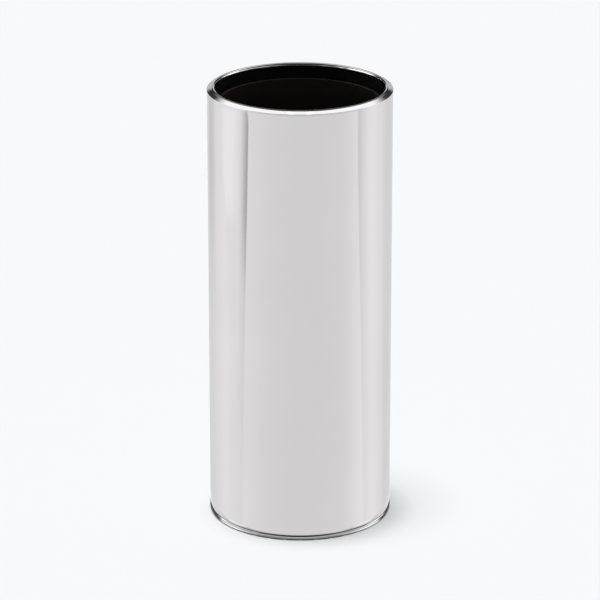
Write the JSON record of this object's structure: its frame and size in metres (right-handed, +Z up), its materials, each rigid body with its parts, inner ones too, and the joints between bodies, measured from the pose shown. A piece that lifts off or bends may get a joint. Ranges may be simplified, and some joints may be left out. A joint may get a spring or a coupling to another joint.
{
  "type": "umbrella stand",
  "caption": "Tall round umbrella stand: polished steel tube with a rounded rim ring, a beaded base ring, a ballast disc and a lift-out black bucket.",
  "frame": {"origin": "centre of the footprint, on the floor", "axes": "+Z up along the tube's axis; the tube's butt seam is at +Y and the front is -Y"},
  "size_m": [0.2058, 0.2058, 0.5],
  "materials": {
    "polished_steel": "mirror-polished stainless steel",
    "polished_ring": "mirror-polished, rounded",
    "black_lining": "matt black",
    "zinc_plate": "bright zinc-plated sheet",
    "zinc_fastener": "zinc-plated",
    "rivet_aluminium": "bare",
    "cast_iron": "black-painted casting",
    "foot_rubber": "matt black",
    "black_bucket": "fine moulded texture"
  },
  "bodies": {
    "stand": {"outer_shell": "polished_steel", "rim_ring": "polished_ring", "shell_lining": "black_lining", "base_ring": "polished_ring", "base_plate": "zinc_plate", "base_rivets": "rivet_aluminium", "ballast_disc": "cast_iron", "ballast_bolts": "zinc_fastener", "ballast_washers": "zinc_fastener", "ballast_nuts": "zinc_fastener", "foot_ring": "foot_rubber"},
    "bucket": {"liner_bucket": "black_bucket"}
  },
  "joints": [
    {"name": "bucket_lift", "type": "slide", "parent": "stand", "child": "bucket", "axis": [0, 0, 1], "range_m": [0, 0.5]}
  ]
}
